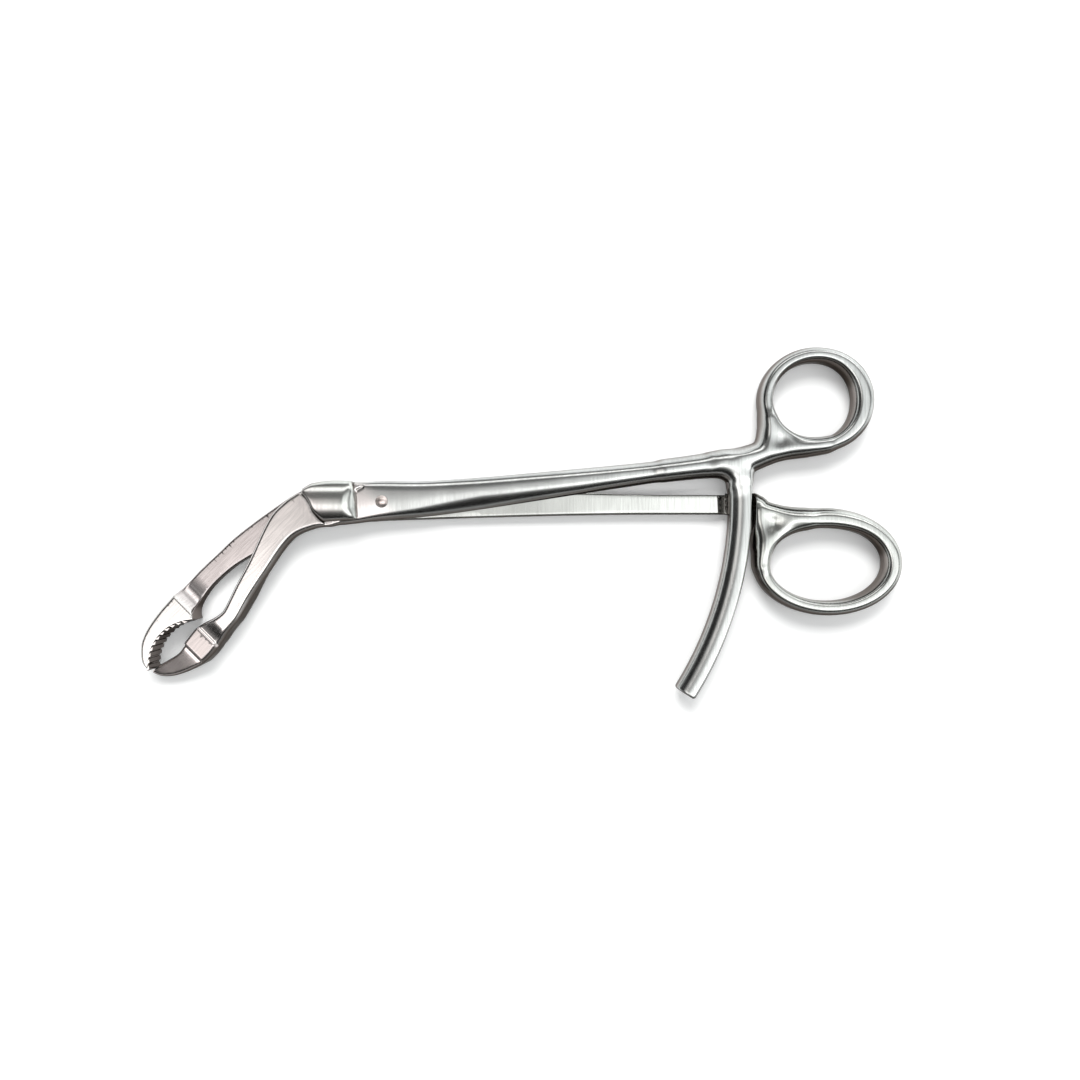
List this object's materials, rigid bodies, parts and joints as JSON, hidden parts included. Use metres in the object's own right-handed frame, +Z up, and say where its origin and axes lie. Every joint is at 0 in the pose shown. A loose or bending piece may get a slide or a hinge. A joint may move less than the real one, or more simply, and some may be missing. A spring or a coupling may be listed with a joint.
{
  "type": "bone holding forceps",
  "caption": "Bone holding forceps with angled jaws, a lug-held lap joint, a curved ratchet bar and two finger rings, closed and lying flat.",
  "frame": {"origin": "on the pivot's axis, at the plane on which the closed forceps lie", "axes": "+X along the shanks from the pivot to the finger rings, +Y towards the single finger ring's side, +Z up along the pivot's axis"},
  "size_m": [0.1875, 0.087, 0.0098],
  "materials": {
    "brushed_steel_lock_arm": "satin stainless steel, brushed flats and polished ring",
    "brushed_steel_ratchet_arm": "satin stainless steel, brushed flats and polished rounds",
    "polished_steel_stud": "polished domed stainless steel"
  },
  "bodies": {
    "lock_arm_body": {"lock_arm": "brushed_steel_lock_arm", "pivot_stud": "polished_steel_stud"},
    "ratchet_arm_body": {"ratchet_arm": "brushed_steel_ratchet_arm"}
  },
  "joints": [
    {"name": "pivot", "type": "hinge", "parent": "lock_arm_body", "child": "ratchet_arm_body", "pos_m": [0, 0, 0], "axis": [0, 0, 1], "range_deg": [0, 28]}
  ]
}
